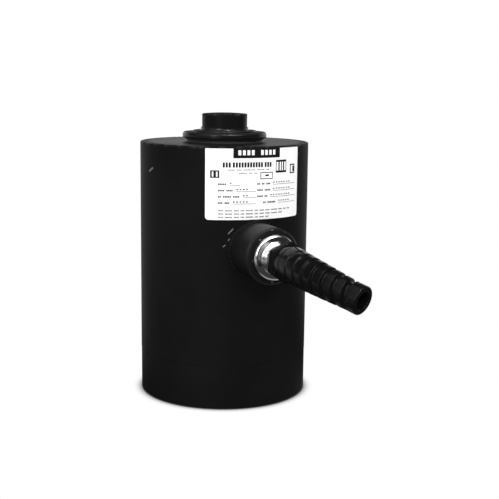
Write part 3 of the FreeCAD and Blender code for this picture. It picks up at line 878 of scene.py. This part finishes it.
boot_root = (Vector((0, -boot_start / mm, gland_height / mm)), Vector((1, 0, 0)), Vector((0, 0, 1)),
             Vector((0, -1, 0)))
root_end = bent(*boot_root, root_length, root_turn, -90.0, root_length)
bend_end = bent(*root_end, bend_length, bend_turn, bend_aim, bend_length)


def boot_frame(distance):
    if distance < root_length:
        return bent(*boot_root, root_length, root_turn, -90.0, distance)
    if distance < collar_start:
        return bent(*root_end, bend_length, bend_turn, bend_aim, distance - root_length)
    place, right, top, ahead = bend_end
    return place + ahead * (distance - collar_start), right, top, ahead


def boot_outside(distance):
    share = min(max(distance / collar_start, 0), 1)
    return boot_radius + (boot_tip - boot_radius) * share + 4 * boot_bulge * share * (1 - share)


def groove_depth(distance, angle):
    # how far the spiral groove cuts in at this distance along the boot and angle round it
    start = (angle - math.pi / 2) / (2 * math.pi)
    deepest = 0.0
    first = math.floor((distance - groove_first) / groove_pitch - start - 1)
    for lap in range(first, first + 4):
        turns = start + lap
        if turns < 0 or turns > groove_turns:
            continue
        gap = abs(distance - groove_first - groove_pitch * turns)
        depth = groove_shallow + (groove_deep - groove_shallow) * turns / groove_turns
        shoulder = shoulder_first + (shoulder_last - shoulder_first) * turns / groove_turns
        fade = min(1.0, turns / groove_fade, (groove_turns - turns) / groove_fade)
        share = min(max((groove_half + shoulder - gap) / shoulder, 0), 1)
        share = share * share * (3 - 2 * share)
        deepest = max(deepest, depth * fade * share)
    return deepest


def boot_rows():
    # one ring each: distance along the boot, radius, and whether the groove cuts it
    rows = [(0.0, boot_root_radius, False), (nut_length, boot_root_radius, False)]
    first = nut_length + nut_gap
    count = round((collar_start - first) / row_step)
    for k in range(count + 1):
        distance = first + (collar_start - first) * k / count
        rows.append((distance, boot_outside(distance), True))
    straight_end = boot_length - collar_round
    for k in range(1, collar_steps + 1):
        distance = collar_start + (straight_end - collar_start) * k / collar_steps
        rows.append((distance, collar_radius, True))
    for k in range(1, round_steps + 1):
        angle = math.pi / 2 * k / round_steps
        rows.append((straight_end + collar_round * math.sin(angle),
                     collar_radius - collar_round * (1 - math.cos(angle)), False))
    rows.append((boot_length, (collar_radius - collar_round + bore_radius + bore_round) / 2, False))
    for k in range(lip_steps + 1):
        angle = math.pi / 2 * k / lip_steps
        rows.append((boot_length - bore_round * (1 - math.cos(angle)),
                     bore_radius + bore_round * (1 - math.sin(angle)), False))
    bore_start = boot_length - bore_round
    for k in range(1, bore_steps + 1):
        rows.append((bore_start - (bore_start - cavity_length) * k / bore_steps, bore_radius, False))
    rows += [(distance, cavity_radius, False) for distance in (cavity_length, cavity_length / 2, 0.0)]
    return rows


def make_boot():
    rows = boot_rows()
    bpy.ops.mesh.primitive_grid_add(x_subdivisions=boot_around, y_subdivisions=len(rows), size=1)
    boot = made_piece("spiral_strain_relief")
    frames = [boot_frame(row[0]) for row in rows]
    for vertex in boot.data.vertices:
        ring = round((vertex.co.y + 0.5) * len(rows)) % len(rows)
        angle = 2 * math.pi * (round((vertex.co.x + 0.5) * boot_around) % boot_around) / boot_around
        distance, radius, grooved = rows[ring]
        if grooved:
            radius -= groove_depth(distance, angle)
        place, right, top, ahead = frames[ring]
        vertex.co = (place + (right * math.cos(angle) + top * math.sin(angle)) * radius) * mm
    tidy_mesh(boot, merge_gap)
    finish_piece(boot, "boot_nylon", finishes["boot_nylon"], 55, "strain_relief_boot")


def make_nut():
    corner = nut_flats / math.sqrt(3) * mm
    bpy.ops.mesh.primitive_cylinder_add(vertices=6, radius=corner, depth=nut_length * mm,
                                        location=(0, 0, nut_length / 2 * mm))
    nut = made_piece("strain_relief_nut")
    bpy.ops.object.transform_apply(location=True, rotation=False, scale=False)
    # a round body with turned-down ends, which the hexagon is cut to
    body = (nut_length - nut_front - nut_back) * mm
    bpy.ops.mesh.primitive_cylinder_add(vertices=nut_around, radius=corner, depth=body,
                                        location=(0, 0, nut_back * mm + body / 2))
    round_body = made_piece("chamfer_body")
    bpy.ops.object.transform_apply(location=True, rotation=False, scale=False)
    for end, length, radius in ((1, nut_front, boot_radius),
                                (-1, nut_back, nut_flats / 2 + nut_corner_cut)):
        pick_faces(round_body, lambda face: face.normal.z * end > 0.9)
        bpy.ops.mesh.extrude_region_move(TRANSFORM_OT_translate={"value": (0, 0, end * length * mm)})
        bpy.ops.transform.resize(value=(radius * mm / corner, radius * mm / corner, 1))
        bpy.ops.object.mode_set(mode="OBJECT")
    bpy.ops.mesh.primitive_cylinder_add(vertices=nut_around, radius=nut_hole * mm,
                                        depth=4 * nut_length * mm)
    hole = made_piece("nut_hole")
    for tool, operation in ((round_body, "INTERSECT"), (hole, "DIFFERENCE")):
        apply_modifier(nut, "BOOLEAN", operation=operation, object=tool, solver="EXACT")
        bpy.data.objects.remove(tool)
    apply_modifier(nut, "BEVEL", width=nut_edge * mm, segments=2, limit_method="ANGLE",
                   angle_limit=math.radians(25))
    # Z becomes -Y, the hexagon is turned about the gland's axis
    turned = Matrix.Rotation(math.radians(nut_turn - 30), 4, "Z")
    stand = Matrix.Rotation(math.radians(90), 4, "X") @ turned
    nut.data.transform(Matrix.Translation((0, -boot_start, gland_height)) @ stand)
    tidy_mesh(nut, merge_gap)
    finish_piece(nut, "boot_nylon", nut_nylon, 30, "strain_relief_boot")


# The floor: its shadow close under the can, and the light that glossy surfaces see in it
back = (math.sin(math.radians(-photo_turn)), math.cos(math.radians(-photo_turn)), 0)
side = (back[1], -back[0], 0)
shadow_reach = 0.0075
shadow_depth = 0.8
shadow_most = 0.95
shadow_lean = 1.7
front_shine = 0.04
floor_shine = 0.8
shine_slant = 0.35
shine_start = -0.05
shine_full = 0.35
left_patch = (-0.5, -0.25, 0)
below_patch = (0.03, -0.07, 0)


def patch(tree, centre, near, far, strength):
    away = vector_calc(tree, "DISTANCE", object_place(tree), centre)
    return ramp(tree, away, near, far, strength, 0.0, smooth=True)


def seen_plainly(tree, path):
    # the camera sees the white ground, also through clear pieces
    return calc(tree, "MAXIMUM", path["Is Camera Ray"], path["Is Transmission Ray"])


def make_floor():
    bpy.ops.mesh.primitive_plane_add(size=8)
    floor = bpy.context.object
    floor.name = "floor"
    material, tree, inputs = new_material("floor_white", roughness=0.9)
    inputs["Base Color"].default_value = (0.8, 0.8, 0.8, 1)
    path = add(tree, "LightPath").outputs
    lean = Vector(back) * shadow_lean + Vector((0, 0, 1))
    shadow = add(tree, "AmbientOcclusion", {"samples": 16}, Distance=shadow_reach,
                 Normal=tuple(lean.normalized()))
    hidden = calc(tree, "MULTIPLY", calc(tree, "SUBTRACT", 1.0, shadow.outputs["AO"]), 2.0)
    dark = calc(tree, "MULTIPLY", calc(tree, "POWER", hidden, 2.0), shadow_depth)
    shown = calc(tree, "SUBTRACT", 1.0, calc(tree, "MINIMUM", dark, shadow_most))
    lit = Vector(back) - shine_slant * Vector(side)
    along = vector_calc(tree, "DOT_PRODUCT", object_place(tree), tuple(lit))
    mirrored = ramp(tree, along, shine_start, shine_full, front_shine, floor_shine, smooth=True)
    beside = patch(tree, left_patch, near=0.15, far=0.45, strength=0.45)
    below = patch(tree, below_patch, near=0.05, far=0.12, strength=0.35)
    mirrored = calc(tree, "MAXIMUM", mirrored, calc(tree, "MAXIMUM", beside, below))
    plain = seen_plainly(tree, path)
    camera_part = calc(tree, "MULTIPLY", shown, plain)
    shine_part = calc(tree, "MULTIPLY", mirrored, path["Is Glossy Ray"])
    glow = add(tree, "Emission", Strength=calc(tree, "ADD", camera_part, shine_part))
    choose = add(tree, "MixShader")
    feed(tree, choose.inputs[0], calc(tree, "MAXIMUM", plain, path["Is Glossy Ray"]))
    tree.links.new(tree.nodes["Principled BSDF"].outputs[0], choose.inputs[1])
    tree.links.new(glow.outputs[0], choose.inputs[2])
    tree.links.new(choose.outputs[0], tree.nodes["Material Output"].inputs["Surface"])
    floor.data.materials.append(material)


# The studio round the can, as the black paint and the bright metal mirror it
room_light = 0.5
dark_shine = 0.02
backdrop_shine = 0.95
cloth_shine = 0.9
cloth_lean = 0.5
side_cloth_shine = 0.7
side_cloth = Vector(left_patch) * 1.8 + Vector((0, 0, 0.3))
wall_shine = 0.9


def make_world():
    world = bpy.data.worlds.new("studio")
    scene.world = world
    world.use_nodes = True
    tree = world.node_tree
    path = add(tree, "LightPath").outputs
    way = tree.nodes.new("ShaderNodeTexCoord").outputs["Generated"]
    behind = vector_calc(tree, "DOT_PRODUCT", way, back)
    sideways = vector_calc(tree, "DOT_PRODUCT", way, side)
    rise = vector_calc(tree, "DOT_PRODUCT", way, (0, 0, 1))
    # a low backdrop behind the can
    wide = ramp(tree, behind, 0.2, 0.7, 0.0, backdrop_shine, smooth=True)
    backdrop = calc(tree, "MULTIPLY", wide, ramp(tree, rise, 0.3, 0.5, 1.0, 0.0, smooth=True))
    # a white wall left of the camera
    left = ramp(tree, sideways, -0.05, -0.25, 0.0, wall_shine, smooth=True)
    wall = calc(tree, "MULTIPLY", left, ramp(tree, rise, 0.0, 0.08, 0.0, 1.0, smooth=True))
    wall = calc(tree, "MULTIPLY", wall, ramp(tree, behind, 0.0, -0.3, 0.0, 1.0, smooth=True))
    # white cloth over the camera, and more of it to the left
    above = vector_calc(tree, "DOT_PRODUCT", way, tuple(Vector((0, 0, 1)) - cloth_lean * Vector(back)))
    above = ramp(tree, above, 0.70, 0.88, dark_shine, cloth_shine, smooth=True)
    beside = vector_calc(tree, "DOT_PRODUCT", way, tuple(side_cloth))
    beside = ramp(tree, beside, 0.78, 0.95, 0.0, side_cloth_shine, smooth=True)
    cloth = calc(tree, "MAXIMUM", above, beside)
    studio = calc(tree, "MAXIMUM", backdrop, calc(tree, "MAXIMUM", cloth, wall))
    plain = calc(tree, "MULTIPLY", calc(tree, "SUBTRACT", 1.0, path["Is Glossy Ray"]), room_light)
    mirrored = calc(tree, "MULTIPLY", studio, path["Is Glossy Ray"])
    strength = calc(tree, "MAXIMUM", calc(tree, "ADD", plain, mirrored), seen_plainly(tree, path))
    light = tree.nodes["Background"]
    light.inputs["Color"].default_value = (1, 1, 1, 1)
    tree.links.new(strength, light.inputs["Strength"])


lamp_aim = Vector((0, 0, 0.1))


def lamp(name, azimuth, elevation, distance, wide, tall, power):
    # azimuth in degrees from -Y towards -X, seen from the can
    turn = math.radians(azimuth)
    lift = math.radians(elevation)
    away = Vector((-math.sin(turn) * math.cos(lift), -math.cos(turn) * math.cos(lift), math.sin(lift)))
    data = bpy.data.lights.new(name, "AREA")
    data.shape = "RECTANGLE"
    data.size = wide
    data.size_y = tall
    data.energy = power
    made = bpy.data.objects.new(name, data)
    scene.collection.objects.link(made)
    made.location = lamp_aim + distance * away
    made.rotation_euler = (-away).to_track_quat("-Z", "Y").to_euler()


make_camera()
make_print()
make_weld_bead()
make_gland()
make_boot()
make_nut()
make_floor()
make_world()
lamp("key", azimuth=49, elevation=18, distance=1.6, wide=0.2, tall=0.6, power=6)
lamp("overhead", azimuth=-8, elevation=68, distance=1.3, wide=0.26, tall=0.2, power=6)
lamp("softbox", azimuth=4, elevation=37, distance=1.5, wide=1.2, tall=0.18, power=9)
